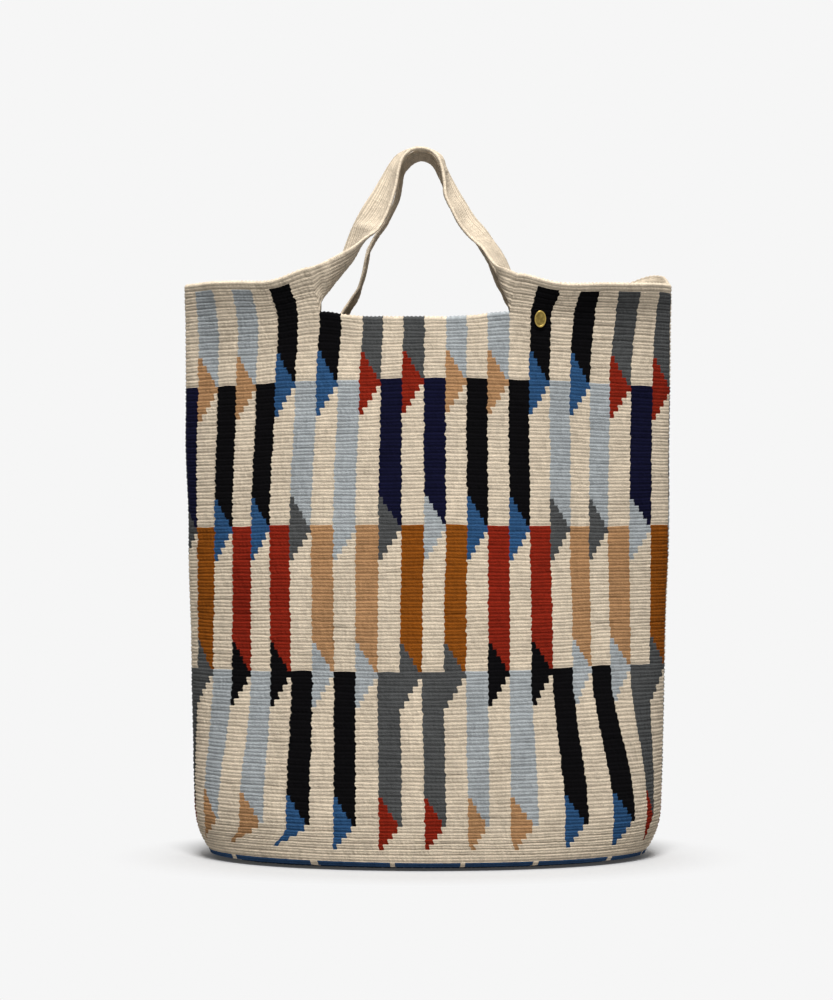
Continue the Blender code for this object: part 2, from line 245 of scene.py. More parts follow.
# Small cream steps in the first rounds of the blue base: distance, first one, and their width in each round
BASE_STEP_DISTANCE = 16
BASE_STEP_FIRST = 31
BASE_STEP_WIDTHS = (1, 1)

# Map for baking: the margin of each strip
BAKE_MARGIN = 0.004

# Tag profile from its middle to its rim and back underneath: place, height, and share of hollow
TAG_PLACES = np.array([0.0, 0.25, 0.5, 0.7, 0.77, 0.82, 0.88, 0.94, 0.98, 1.0, 1.0, 0.96, 0.0])
TAG_HEIGHTS = np.array([0.62, 0.63, 0.62, 0.62, 0.66, 0.95, 1.1, 1.1, 1.0, 0.8, 0.25, 0.0, 0.0]) * MM
TAG_HOLLOW = np.array([1.0, 1.0, 1.0, 1.0, 1.0, 0.5, 0.0, 0.0, 0.0, 0.3, 0.8, 1.0, 1.0])
TAG_POINTS = 64
TAG_REACH = 1.2
TAG_CLOTH = 0.5 * MM
TAG_LIFT = 0.45 * MM
BRASS_DARKNESS = 0.38

# Studio: paper for the camera and for the light it throws back, and the even colour's share and reach
FLOOR_REACH = 12.0
PAPER = 0.56
PAPER_BOUNCE = 0.4
PAPER_NEAR_SHARE = 0.05
PAPER_REACH = (0.17, 0.25)
PAPER_OVAL = 1.6

# Lamps: the point they shine at, then place, width and share of the key light's power. Sensor in millimetres
LAMP_AIM = (0.0, 0.0, 0.2)
LAMPS = {"key_light": ((0.1, -2.3, 4.0), 1.5, 1.0), "top_light": ((0.0, 0.3, 2.6), 1.6, 0.1)}
SENSOR_WIDTH = 36.0


def srgb(red, green, blue):
    """Linear colour from 8-bit display values."""
    values = np.array([red, green, blue]) / 255
    linear = np.where(values <= 0.04045, values / 12.92, ((values + 0.055) / 1.055) ** 2.4)
    return tuple(float(value) for value in linear)


def number(name, description, default, **options):
    return bpy.props.FloatProperty(name=name, description=description, default=default, **options)


def length(name, description, default):
    return number(name, description, default, unit="LENGTH", min=0.0)


def colour(name, description, default):
    return bpy.props.FloatVectorProperty(name=name, description=description, default=default, size=3,
                                         subtype="COLOR", min=0.0, max=1.0)


class BagSizes(bpy.types.PropertyGroup):
    """Sizes of the bag."""

    rim_height: length("Rim height", "Height of the rim over the ground", 431 * MM)
    mouth_half_width: length("Mouth half width", "Half of the bag's width at the rim", 182.8 * MM)
    mouth_half_depth: length("Mouth half depth", "Half of the bag's depth at the rim", 50 * MM)
    belly_half_width: length("Belly half width", "Half of the bag's width low down", 174 * MM)
    belly_half_depth: length("Belly half depth", "Half of the bag's depth low down", 82 * MM)
    cloth_thickness: length("Cloth thickness", "Thickness of the crocheted cloth", 3.2 * MM)
    rim_flare: length("Rim flare", "How far the side panels stand out at the rim", 15 * MM)
    softness: length("Softness", "Depth of the wall's slack swells and hollows", 0.9 * MM)
    tag_width: length("Tag width", "Width of the oval brass tag", 8.6 * MM)
    tag_height: length("Tag height", "Height of the oval brass tag", 12.4 * MM)


class YarnColours(bpy.types.PropertyGroup):
    """Colours of the yarns and of the brass."""

    cream: colour("Cream", "Ground, rim and straps", srgb(217, 201, 178))
    black: colour("Black", "Black bars and triangles", srgb(9, 8, 10))
    navy: colour("Navy", "Navy bars of the second band", srgb(16, 17, 42))
    light_blue: colour("Light blue", "Pale blue-grey bars", srgb(166, 171, 173))
    mid_blue: colour("Mid blue", "Blue triangles", srgb(46, 82, 122))
    dark_grey: colour("Dark grey", "Grey bars and triangles", srgb(80, 81, 81))
    rust: colour("Rust", "Rust red bars and triangles", srgb(134, 36, 20))
    sand: colour("Sand", "Sand bars and triangles", srgb(176, 134, 94))
    ochre: colour("Ochre", "Ochre bars", srgb(138, 76, 20))
    base_blue: colour("Base blue", "Yarn of the base", srgb(46, 72, 106))
    brass: colour("Brass", "Metal of the tag", srgb(176, 152, 84))


class StageSettings(bpy.types.PropertyGroup):
    """Camera and light."""

    camera_distance: length("Camera distance", "From the camera to the middle of the bag", 1.88)
    camera_height: length("Camera height", "Height of the camera over the ground", 0.2675)
    camera_side: number("Camera side", "Place of the camera along X", -8.65 * MM, unit="LENGTH")
    lens: number("Lens", "Focal length in millimetres", 90.0, subtype="DISTANCE_CAMERA")
    key_power: number("Key light", "Power of the light above the front", 255.0, unit="POWER")
    fill_strength: number("Fill", "Strength of the even light all round", 0.25, min=0.0)
    backdrop: colour("Backdrop", "Colour that the camera sees behind the bag", srgb(246, 246, 246))


def smooth(x):
    """Smooth step from 0 to 1: 3 x^2 - 2 x^3, clamped."""
    x = np.clip(x, 0.0, 1.0)
    return x * x * (3 - 2 * x)


def mix(a, b, share):
    return a + (b - a) * share


def unit(vectors):
    return vectors / np.linalg.norm(vectors, axis=-1, keepdims=True)


def tuck(height, amount_and_reach):
    """How far the wall is tucked in: amount * (1 - height / reach) ^ power below the reach."""
    amount, reach = amount_and_reach
    return amount * np.clip(1 - height / reach, 0, 1) ** TUCK_POWER


def soft_noise(across, down, cell_across, cell_down, seed):
    """Random values from -1 to 1 on a lattice that closes after a round, with smooth steps between."""
    cells = max(1, round(STITCH_COUNT / cell_across))
    rows = int(np.ceil(NOISE_ROWS / cell_down)) + 2
    lattice = np.random.default_rng(seed).uniform(-1, 1, (rows, cells))
    u = np.asarray(across, float) / STITCH_COUNT * cells
    v = (np.asarray(down, float) + NOISE_ROWS_ABOVE) / cell_down
    i, j = np.floor(u).astype(int), np.floor(v).astype(int)
    fu, fv = smooth(u - i), smooth(v - j)
    left, right = i % cells, (i + 1) % cells
    upper, lower = j % rows, (j + 1) % rows
    top = mix(lattice[upper, left], lattice[upper, right], fu)
    bottom = mix(lattice[lower, left], lattice[lower, right], fu)
    return mix(top, bottom, fv)


def noise_layers(across, down, layers):
    """Sum of soft noises, each times its own strength."""
    return sum(strength * soft_noise(across, down, *cell_and_seed) for strength, *cell_and_seed in layers)


def stitch_random(stitch, row, seed):
    """One random value from -1 to 1 for each stitch."""
    lattice = np.random.default_rng(seed).uniform(-1, 1, (ROW_COUNT + SPARE_ROWS, STITCH_COUNT))
    down, across = np.floor(row).astype(int), np.floor(stitch).astype(int)
    return lattice[down % len(lattice), across % STITCH_COUNT]


class Bag:
    """The bag's shape as functions of the stitch round the bag and the row counted down from the rim."""

    def __init__(self, sizes):
        self.sizes = sizes
        self.row_height = (sizes.rim_height - BASE_EDGE_HEIGHT) / ROW_COUNT
        self.handle_width = HANDLE_ROWS * HANDLE_ROW
        self.turns = np.linspace(0, 2 * math.pi, OUTLINE_SAMPLES + 1)
        x, y = self.outline(self.turns, sizes.rim_height, 0.0)
        run = np.concatenate([[0], np.cumsum(np.hypot(np.diff(x), np.diff(y)))])
        self.shares = run / run[-1]
        self.round_length = float(run[-1])

    def half_width(self, height):
        """From the mouth's half width to the belly's, by a power of the way down, less the tuck."""
        share = np.clip(1 - height / self.sizes.rim_height, 0, 1) ** NARROWING_POWER
        width = mix(self.sizes.mouth_half_width, self.sizes.belly_half_width, share)
        return width - tuck(height, END_TUCK)

    def half_depth(self, height):
        """From the belly's half depth evenly to the mouth's, less the tuck."""
        share = np.clip((height - BELLY_HEIGHT) / (self.sizes.rim_height - BELLY_HEIGHT), 0, 1)
        depth = mix(self.sizes.belly_half_depth, self.sizes.mouth_half_depth, share)
        return depth - tuck(height, FRONT_TUCK)

    def outline(self, turn, height, offset):
        """The wall's oval: x = -a cos t and y = -b sin t (r + (1 - r) |sin t|), moved out along its normal.

        The turn t goes from the left end over the front to the right end and back behind. a and b are the
        half width and half depth at the height. The roundness r falls from 1 low down to less at the mouth.
        """
        a, b = self.half_width(height), self.half_depth(height)
        r = mix(1.0, MOUTH_ROUNDNESS, smooth((height - FULL_HEIGHT) / (FLAT_HEIGHT - FULL_HEIGHT)))
        s, c = np.sin(turn), np.cos(turn)
        x, y = -a * c, -b * s * (r + (1 - r) * np.abs(s))
        nx, ny = -b * c * (r + 2 * (1 - r) * np.abs(s)), -a * s
        size = np.hypot(nx, ny)
        return x + offset * nx / size, y + offset * ny / size

    def turn_of(self, stitch):
        """The turn at which a stitch stands, with equal stitches along the mouth's outline."""
        share = (np.asarray(stitch, float) - FRONT_MIDDLE_STITCH) / STITCH_COUNT + 0.25
        whole = np.floor(share)
        return np.interp(share - whole, self.shares, self.turns) + whole * 2 * math.pi

    def pull(self, stitch, row):
        """Lift by the straps: a bell round each corner, from the rim's lift to the edge's, fading down."""
        lift = 0.0
        for corner, (rim, edge) in CORNER_PULL.items():
            away = (stitch - corner + STITCH_COUNT / 2) % STITCH_COUNT - STITCH_COUNT / 2
            near = np.exp(-((away / PULL_REACH_STITCHES) ** 2))
            above = mix(rim, edge, row / HANDLE_ROWS)
            below = smooth(1 - (row - HANDLE_ROWS) / PULL_REACH_ROWS)
            lift = lift + near * np.where(row < HANDLE_ROWS, above, edge * below)
        return lift

    def front_stitch(self, stitch):
        """The stitch of the front half that stands at the same width, for the back half mirrored."""
        place = (stitch - LEFT_END_STITCH) % STITCH_COUNT + LEFT_END_STITCH
        return np.where(place > RIGHT_END_STITCH, 2 * RIGHT_END_STITCH - place, place)

    def from_table(self, values, stitch, row):
        """The drift table's value at a stitch and a row, with smooth steps between its entries."""
        table = np.array(values)
        place = self.front_stitch(stitch)
        columns, rows = np.array(DRIFT_STITCHES, float), np.array(DRIFT_ROWS, float)
        i = np.clip(np.searchsorted(columns, place, side="right") - 1, 0, len(columns) - 2)
        j = np.clip(np.searchsorted(rows, row, side="right") - 1, 0, len(rows) - 2)
        fi = smooth((place - columns[i]) / (columns[i + 1] - columns[i]))
        fj = smooth((row - rows[j]) / (rows[j + 1] - rows[j]))
        upper, lower = mix(table[j, i], table[j, i + 1], fi), mix(table[j + 1, i], table[j + 1, i + 1], fi)
        return mix(upper, lower, fj)

    def behind(self, stitch):
        """1 for the back half, 0 for the front half."""
        return ((stitch - LEFT_END_STITCH) % STITCH_COUNT > STITCH_COUNT / 2).astype(float)

    def drift(self, stitch, row):
        """How far a row wanders up or down, and the higher rim behind the right side panel."""
        place = self.front_stitch(stitch)
        bell = np.exp(-((place - BACK_RIM_PLACE) / BACK_RIM_REACH) ** 2)
        bell = bell * smooth((RIGHT_END_STITCH - place) / BACK_RIM_FADE)
        lift = BACK_RIM_LIFT * bell * self.behind(stitch) * smooth(1 - row / FLARE_ROWS)
        return self.from_table(DRIFT, stitch, row) * MM + lift

    def aside(self, stitch, row):
        """How many stitches a column stands aside, and each row's lean, which starts anew in the groove."""
        turned = 1 - 2 * self.behind(stitch)
        within = row - np.floor(row)
        lean = STITCH_LEAN * (within - 0.5) * (within > 0)
        return turned * self.from_table(SIDE_DRIFT, stitch, row) + lean

    def relief(self, stitch, row):
        """Height over the cloth: each row's ridge, mid line and groove, with a swell at each stitch."""
        within = row - np.floor(row)
        places = np.append(ROW_PLACES, 1.0)
        profile = np.interp(within, places, np.append(ROW_RELIEF, ROW_RELIEF[0]))
        swell = np.interp(within, places, np.append(STITCH_SWELL, STITCH_SWELL[0]))
        beads = np.cos(2 * math.pi * stitch)
        hump = np.sin(math.pi * (stitch - np.floor(stitch)))
        uneven = STITCH_UNEVEN * stitch_random(stitch, row, STITCH_UNEVEN_SEED) * hump
        thick = 1 + noise_layers(stitch, row, THICKNESS_LAYERS)
        return profile * thick + swell * beads + uneven

    def slack(self, stitch, row):
        """Slow swells and hollows of the wall, and the outward flare of the side panels at the rim."""
        swell = self.sizes.softness * noise_layers(stitch, row, SLACK_LAYERS)
        place = self.front_stitch(stitch)
        left, right = FLARE_STITCHES
        on_left = smooth((left - place) / FLARE_RISE) * smooth((place - LEFT_END_STITCH) / FLARE_END_RISE)
        on_right = smooth((place - right) / FLARE_RISE) * smooth((RIGHT_END_STITCH - place) / FLARE_END_RISE)
        beside = np.maximum(on_left, on_right)
        flare = self.sizes.rim_flare * beside * np.clip(1 - row / FLARE_ROWS, 0, 1) ** FLARE_POWER
        return swell * self.calm(row, SLACK_FADE) + flare

    def calm(self, row, fade):
        """0 at the rim and at the base, rising to 1 over the rows of each fade."""
        at_rim, at_base = fade
        return smooth(row / at_rim) * smooth((ROW_COUNT - row) / at_base)

    def wall(self, stitch, row, offset):
        """Point of the wall: the oval at the row's height, moved out by the offset, up by drift and pull."""
        whole_row = np.round(row)
        sideways = self.aside(stitch, row) + noise_layers(stitch, whole_row, ROW_SIDE_LAYERS)
        waver = noise_layers(stitch, row, WAVER_LAYERS) + noise_layers(stitch, whole_row, ROW_WAVER_LAYERS)
        level = self.sizes.rim_height - row * self.row_height
        height = level + self.drift(stitch, row) + waver * self.calm(row, WAVER_FADE)
        x, y = self.outline(self.turn_of(stitch + sideways), height, offset + self.slack(stitch, row))
        return np.stack(np.broadcast_arrays(x, y, height + self.pull(stitch, row)), -1)

    def strap(self, corners, stations, face, rows, offsets):
        """Cross-sections of a strap at even steps, from its left corner over the crown to its right corner.

        The rim edge and the opening edge are curves through the stations. The cloth between them is a
        parabola that bulges outwards by d * sqrt(3 / 8 * (w / d - 1)), where d is the distance of the edges
        and w the strap's width.
        """
        half = self.sizes.cloth_thickness / 2
        edge_rows, mid_cloth = np.array([0.0, HANDLE_ROWS]), np.array([-half, -half])
        ends = [self.root_point(corner, edge_rows, mid_cloth) for corner in corners]
        edges = np.concatenate([ends[:1], np.array(stations).reshape(-1, 2, 3) * MM, ends[1:]])
        middle = edges.mean(1)
        run = np.concatenate([[0], np.cumsum(np.linalg.norm(np.diff(middle, axis=0), axis=1))])
        steps = round(run[-1] / (self.round_length / STITCH_COUNT)) * STITCH_STEPS
        along = np.linspace(0, run[-1], steps + 1)
        edges = curve_through(run, edges.reshape(len(edges), 6), along).reshape(-1, 2, 3)
        chord = edges[:, 1] - edges[:, 0]
        ahead = unit(np.gradient(edges.mean(1), axis=0))
        outwards = face * unit(np.cross(ahead, chord))
        apart = np.linalg.norm(chord, axis=1)
        bulge = apart * np.sqrt(np.clip(3 / 8 * (self.handle_width / apart - 1), 0, None))
        number = corners[0] + np.arange(steps + 1) / STITCH_STEPS
        share = (rows / HANDLE_ROWS)[None, :, None]
        arch = (outwards * bulge[:, None])[:, None]
        points = edges[:, :1] + chord[:, None] * share + arch * 4 * share * (1 - share)
        across = chord[:, None] + arch * 4 * (1 - 2 * share)
        normal = face * unit(np.cross(ahead[:, None], across))
        offset = offsets(number[:, None], rows[None, :])
        return points + normal * offset[..., None], number, along / run[-1]

    def root_point(self, corner, row, offset):
        """Point of the wall at a corner."""
        return self.wall(np.full(np.shape(row), float(corner)), row, offset)


def curve_through(places, values, wanted):
    """Curve through values at places: cubic Hermite pieces, whose slopes come from the neighbours."""
    slopes = np.gradient(values, places, axis=0)
    i = np.clip(np.searchsorted(places, wanted, side="right") - 1, 0, len(places) - 2)
    gap = (places[i + 1] - places[i])[:, None]
    t = (wanted[:, None] - places[i][:, None]) / gap
    rise = t * t * (3 - 2 * t)
    return (mix(values[i], values[i + 1], rise) + gap * slopes[i] * t * (1 - t) ** 2
            - gap * slopes[i + 1] * t * t * (1 - t))


def bar_of(stitch, shift):
    """Number of the bar at a stitch, and the stitch's place in it from 0 to 4, or -1 between bars."""
    place = (stitch - shift) % (2 * BAR)
    number = (stitch - shift) // (2 * BAR)
    return number, np.where(place < BAR, place, -1)


def yarn_of(stitch, row):
    """Yarn of each stitch by rule, from its number round the bag and its row from the rim.

    Bars five stitches wide stand in every second column; from band to band they change columns. Over the
    last four rows of a band a triangle of another colour grows by a stitch a row from a bar's left edge.
    It shrinks again over the first rows of the next band, where that column has turned cream.
    """
    yarn = np.full(np.broadcast(stitch, row).shape, YARN["cream"])
    for band, (bars, triangles) in enumerate(zip(BAND_BARS, BAND_TRIANGLES)):
        top, bottom = BAND_ROWS[band], BAND_ROWS[band + 1]
        number, place = bar_of(stitch, 0 if band % 2 == 0 else BAR)
        main = np.array([YARN[name] for name in bars])[number % len(bars)]
        corner = np.array([YARN[triangles[name]] for name in bars])[number % len(bars)]
        if band == 1:
            for odd, name in ODD_TRIANGLES.items():
                corner = np.where(number % BARS_ROUND == odd, YARN[name], corner)
        inside = (place >= 0) & (row >= top) & (row < bottom)
        yarn = np.where(inside, main, yarn)
        grown = row - (bottom - TRIANGLE_RISE) + 1
        yarn = np.where((place >= 0) & (row < bottom) & (place < grown), corner, yarn)
        start = BAR if band < len(BAND_BARS) - 1 else TRIANGLE_RISE
        shrinking = (place >= 0) & (row >= bottom) & (place < start - (row - bottom))
        yarn = np.where(shrinking, corner, yarn)
    around = stitch % STITCH_COUNT
    for first, last in CREAM_CORNERS:
        yarn = np.where((row < HANDLE_ROWS) & (around >= first) & (around < last), YARN["cream"], yarn)
    return yarn


def grid_piece(name, points, stitches, rows, material, closed=False, kept=None, yarn=None, flip=False,
               strips=4):
    """A mesh from a grid of points, with yarn and tone attributes, a groove attribute that carries painted
    shade, and two maps.

    `points` has one row of points for each entry of `rows` and one column for each entry of `stitches`.
    With `closed` the last column joins the first. `kept` says which cells are faces. The cloth map counts
    stitches and rows; the map for baking lays the grid out in strips, one above another.
    """
    down, across = points.shape[:2]
    cells_down, cells_across = down - 1, across if closed else across - 1
    j, i = np.meshgrid(np.arange(cells_down), np.arange(cells_across), indexing="ij")
    kept = np.ones(j.shape, bool) if kept is None else kept
    j, i = j[kept], i[kept]
    corners_j = np.stack([j, j + 1, j + 1, j], -1)
    corners_i = np.stack([i, i, i + 1, i + 1], -1)
    if flip:
        corners_j, corners_i = corners_j[:, ::-1], corners_i[:, ::-1]
    index = corners_j * across + corners_i % across
    used, index = np.unique(index, return_inverse=True)
    index = index.reshape(-1, 4)
    places = points.reshape(-1, 3)[used]

    mesh = bpy.data.meshes.new(name)
    mesh.vertices.add(len(places))
    mesh.vertices.foreach_set("co", places.astype(np.float32).ravel())
    mesh.loops.add(index.size)
    mesh.loops.foreach_set("vertex_index", index.astype(np.int32).ravel())
    mesh.polygons.add(len(index))
    mesh.polygons.foreach_set("loop_start", np.arange(0, index.size, 4, dtype=np.int32))
    mesh.update(calc_edges=True)
    mesh.polygons.foreach_set("use_smooth", np.ones(len(index), bool))

    step = (stitches[-1] - stitches[0]) / (len(stitches) - 1)
    edges = np.append(stitches, stitches[-1] + step)
    run, fall = edges[corners_i], rows[corners_j]
    strip_cells = -(-cells_across // strips)
    strip = (i // strip_cells)[:, None]
    within = 1 - 2 * BAKE_MARGIN
    height = BAKE_MARGIN + (corners_j / cells_down + strip) * (1 - 2 * BAKE_MARGIN / strips) - strip
    u = BAKE_MARGIN + (corners_i / strip_cells - strip) * within
    v = (strip + BAKE_MARGIN + height * within) / strips
    for label, values in (("OFBake", np.stack([u, v], -1)), ("cloth", np.stack([run, fall], -1))):
        layer = mesh.uv_layers.new(name=label)
        layer.data.foreach_set("uv", values.astype(np.float32).ravel())
    mesh.uv_layers["OFBake"].active_render = True

    middle_stitch = np.floor(run.mean(1) + HAIR).astype(int)
    middle_row = np.floor(fall.mean(1) + HAIR).astype(int)
    kind = yarn(middle_stitch, middle_row) if yarn else np.zeros(len(index))
    tone = STITCH_TONE * stitch_random(middle_stitch, middle_row, STITCH_TONE_SEED)
    tone = tone + noise_layers(middle_stitch, middle_row, TONE_LAYERS)
    for label, values in (("yarn", kind), ("tone", tone)):
        mesh.attributes.new(label, "FLOAT", "FACE").data.foreach_set("value", values.astype(np.float32))
    # Painted shade: how much the yarn's colour is darkened at each row's place, darkest in the groove
    shade = np.interp(rows - np.floor(rows), np.append(ROW_PLACES, 1.0), np.append(ROW_SHADE, ROW_SHADE[0]))
    groove = np.repeat(shade, across)[used]
    mesh.attributes.new("groove", "FLOAT", "POINT").data.foreach_set("value", groove.astype(np.float32))
    mesh.validate()
    piece = bpy.data.objects.new(name, mesh)
    bpy.context.collection.objects.link(piece)
    mesh.materials.append(material)
    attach(piece, "root")
    return piece


def row_samples(top, bottom, places=ROW_PLACES):
    """Sample rows of a face: the places of each row, and the last row's lower end."""
    return np.append((np.arange(top, bottom)[:, None] + places).ravel(), bottom)


class Links:
    """A value in a material's node tree, on which Python's operators add Math nodes."""

    def __init__(self, sheet, socket):
        self.sheet, self.socket = sheet, socket

    def math(self, operation, first, second):
        return self.sheet.node("ShaderNodeMath", {"operation": operation}, {0: first, 1: second})["Value"]

    def __add__(self, other):
        return self.math("ADD", self, other)

    __radd__ = __add__

    def __mul__(self, other):
        return self.math("MULTIPLY", self, other)

    __rmul__ = __mul__

    def __sub__(self, other):
        return self.math("SUBTRACT", self, other)

    def __rsub__(self, other):
        return self.math("SUBTRACT", other, self)


class NodeSheet:
    """A material's or world's node tree, filled node by node."""

    def __init__(self, tree):
        self.tree = tree
        tree.nodes.clear()

    def node(self, kind, settings=None, sockets=None):
        """Adds a node of a type, applies its settings, then gives its sockets their values or links."""
        node = self.tree.nodes.new(kind)
        for name, value in (settings or {}).items():
            if name == "stops":
                self.stops(node.color_ramp, value)
            else:
                setattr(node, name, value)
        for name, value in (sockets or {}).items():
            if isinstance(value, Links):
                self.tree.links.new(value.socket, node.inputs[name])
            else:
                node.inputs[name].default_value = value
        return {output.name: Links(self, output) for output in node.outputs if output.enabled}

    def stops(self, ramp, values):
        """The ramp's colours, each from its place on."""
        ramp.interpolation = "CONSTANT"
        while len(ramp.elements) < len(values):
            ramp.elements.new(0.5)
        for element, (place, value) in zip(ramp.elements, values):
            element.position = place
            element.color = (*value, 1.0)


def new_material(name):
    material = bpy.data.materials.new(name)
    material.use_nodes = True
    return material, NodeSheet(material.node_tree)


def crochet_material(colours):
    """Cotton yarn: each stitch's colour with uneven dye, painted shade that darkens the grooves, and a bump
    of twisted fibres.
    """
    material, sheet = new_material("crocheted_cotton_yarn")
    yarn, tone, groove = (sheet.node("ShaderNodeAttribute", {"attribute_name": name})["Fac"]
                          for name in ("yarn", "tone", "groove"))
    cloth = sheet.node("ShaderNodeUVMap", {"uv_map": "cloth"})["UV"]
    stops = [(place / len(YARNS), tuple(getattr(colours, name))) for place, name in enumerate(YARNS)]
    dyed = sheet.node("ShaderNodeValToRGB", {"stops": stops},
                      {"Fac": (yarn + 0.5) * (1 / len(YARNS))})["Color"]

    def fibres(scale, stretch, detail):
        """Noise on the cloth map, which counts stitches across and rows down."""
        place = sheet.node("ShaderNodeMapping", {}, {"Vector": cloth, "Scale": (*stretch, 1)})["Vector"]
        return sheet.node("ShaderNodeTexNoise", {"noise_dimensions": "2D"},
                          {"Vector": place, "Scale": scale, "Detail": detail, "Roughness": 0.6})["Fac"]

    strands = fibres(2.2, (1.0, 3.4), 3.0)
    flecks = fibres(3.0, (1.6, 2.2), 2.0)
    patches = fibres(0.25, (1.0, 1.4), 2.0)
    dye = 1 + tone * 0.13 + (patches - 0.5) * 0.2
    light = dye + (strands - 0.5) * 0.7 + (flecks - 0.5) * 0.5
    # Painted shade in the grooves, made uneven by the flecks
    shadow = groove * (0.2 + flecks * 0.5)
    shaded = sheet.node("ShaderNodeVectorMath", {"operation": "SCALE"},
                        {0: dyed, "Scale": light * (1 - shadow)})["Vector"]
    bump = sheet.node("ShaderNodeBump", {}, {
        "Height": strands * 0.8 + flecks * 0.8, "Strength": 0.8, "Distance": 0.5 * MM})["Normal"]
    shader = sheet.node("ShaderNodeBsdfPrincipled", {}, {
        "Base Color": shaded, "Roughness": 0.95, "Normal": bump, "Specular IOR Level": 0.06})["BSDF"]
    sheet.node("ShaderNodeOutputMaterial", {}, {"Surface": shader})
    return material


def brass_material(colours):
    """Aged brass: warm metal with darker patches in the hollows and fine dents."""
    material, sheet = new_material("aged_brass")
    place = sheet.node("ShaderNodeTexCoord")["Object"]
    dents = sheet.node("ShaderNodeTexNoise", {}, {"Vector": place, "Scale": 700.0, "Detail": 3.0})["Fac"]
    patches = sheet.node("ShaderNodeTexNoise", {}, {"Vector": place, "Scale": 420.0, "Detail": 2.0})["Fac"]
    low = sheet.node("ShaderNodeAttribute", {"attribute_name": "hollow"})["Fac"]
    bright = tuple(colours.brass)
    dark = tuple(value * BRASS_DARKNESS for value in bright)
    worn = sheet.node("ShaderNodeMix", {"data_type": "RGBA"},
                      {"Factor": low * (0.1 + patches * 1.3), 6: (*bright, 1), 7: (*dark, 1)})["Result"]
    bump = sheet.node("ShaderNodeBump", {}, {
        "Height": dents, "Strength": 0.5, "Distance": 0.3 * MM})["Normal"]
    shader = sheet.node("ShaderNodeBsdfPrincipled", {}, {
        "Base Color": worn, "Metallic": 1.0, "Roughness": 0.3 + patches * 0.25, "Normal": bump})["BSDF"]
    sheet.node("ShaderNodeOutputMaterial", {}, {"Surface": shader})
    return material


def grey_paper(sheet, value):
    return sheet.node("ShaderNodeBsdfDiffuse", {}, {"Color": (value, value, value, 1)})["BSDF"]


def seen_by_eye(sheet):
    """1 for rays from the camera, also by way of metal or glass, and 0 for rays of light."""
    path = sheet.node("ShaderNodeLightPath")
    return path["Is Camera Ray"] + path["Is Glossy Ray"] + path["Is Transmission Ray"]


def stage_material(name, seen):
    """Paper that takes light and shadow near the bag, and an even colour for the camera farther away.

    The even colour's share rises from the near share to 1 with the distance from the bag's middle, in ovals
    round the base. The light that the paper throws back on the bag comes from a darker grey.
    """
    material, sheet = new_material(name)
    place = sheet.node("ShaderNodeTexCoord")["Object"]
    oval = sheet.node("ShaderNodeMapping", {}, {"Vector": place, "Scale": (1, PAPER_OVAL, 1)})["Vector"]
    distance = sheet.node("ShaderNodeVectorMath", {"operation": "LENGTH"}, {0: oval})["Value"]
    share = sheet.node("ShaderNodeMapRange", {"interpolation_type": "SMOOTHSTEP"}, {
        "Value": distance, "From Min": PAPER_REACH[0], "From Max": PAPER_REACH[1],
        "To Min": PAPER_NEAR_SHARE, "To Max": 1.0})["Result"]
    even = sheet.node("ShaderNodeEmission", {}, {"Color": (*seen, 1), "Strength": 1.0})["Emission"]
    seen_floor = sheet.node("ShaderNodeMixShader", {}, {
        "Fac": share, 1: grey_paper(sheet, PAPER), 2: even})["Shader"]
    both = sheet.node("ShaderNodeMixShader", {}, {
        "Fac": seen_by_eye(sheet), 1: grey_paper(sheet, PAPER_BOUNCE), 2: seen_floor})["Shader"]
    sheet.node("ShaderNodeOutputMaterial", {}, {"Surface": both})
    return material


def cotton(context):
    """The yarn's material, made once for all pieces."""
    colours = context.scene.yarn_colours
    return bpy.data.materials.get("crocheted_cotton_yarn") or crochet_material(colours)


def finish_cloth():
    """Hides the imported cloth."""
    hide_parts("crocheted_bag")


def under_strap(stitch):
    """Which stitches of the band leave the wall as straps."""
    around = np.floor(stitch + HAIR) % STITCH_COUNT
    return (((around >= FRONT_OPENING[0]) & (around < FRONT_OPENING[1]))
            | ((around >= BACK_OPENING[0]) & (around < BACK_OPENING[1])))


def kept_cells(stitches, rows):
    """Which cells stay in the wall: in the band of the straps only those beside the openings."""
    if rows[0] >= HANDLE_ROWS:
        return None
    return np.broadcast_to(~under_strap(stitches), (len(rows) - 1, len(stitches)))


def edge_roll(bag, stitch, row, outer, inner):
    """A rolled edge: half an ellipse from the outer to the inner face, with a bead at each stitch."""
    angle = np.linspace(0, math.pi, EDGE_POINTS)
    middle, half = (outer + inner) / 2, (outer - inner) / 2
    bead = 1 + EDGE_BEAD * np.cos(2 * math.pi * stitch)[None, :]
    offset = middle[None, :] + half[None, :] * np.cos(angle)[:, None]
    points = bag.wall(np.broadcast_to(stitch, offset.shape), np.full(offset.shape, float(row)), offset)
    points[..., 2] += EDGE_RISE * np.sin(angle)[:, None] * bead
    return points


def crochet_face(context, name, cuts, places, steps, share, inset):
    """One face of the wall in pieces between the cuts, with a share of the relief, inside the outline."""
    bag = Bag(context.scene.bag_sizes)
    stitches = np.arange(STITCH_COUNT * steps) / steps
    for top, bottom in zip(cuts, cuts[1:]):
        rows = row_samples(top, bottom, places)
        across, down = np.meshgrid(stitches, rows)
        points = bag.wall(across, down, share * bag.relief(across, down) - inset)
        piece = grid_piece(f"{name}_{top}_to_{bottom}", points, stitches, rows, cotton(context), closed=True,
                           kept=kept_cells(stitches, rows), yarn=yarn_of, flip=share < 0)
        finish_cloth()
    return {"FINISHED"}


class MESH_OT_crochet_wall(bpy.types.Operator):
    """Builds the outer face of the wall, row by row, in pieces that meet in the grooves"""

    bl_idname = "mesh.crochet_wall"
    bl_label = "Crochet the wall"

    def execute(self, context):
        return crochet_face(context, "wall_rows", WALL_CUTS, ROW_PLACES, STITCH_STEPS, 1.0, 0.0)


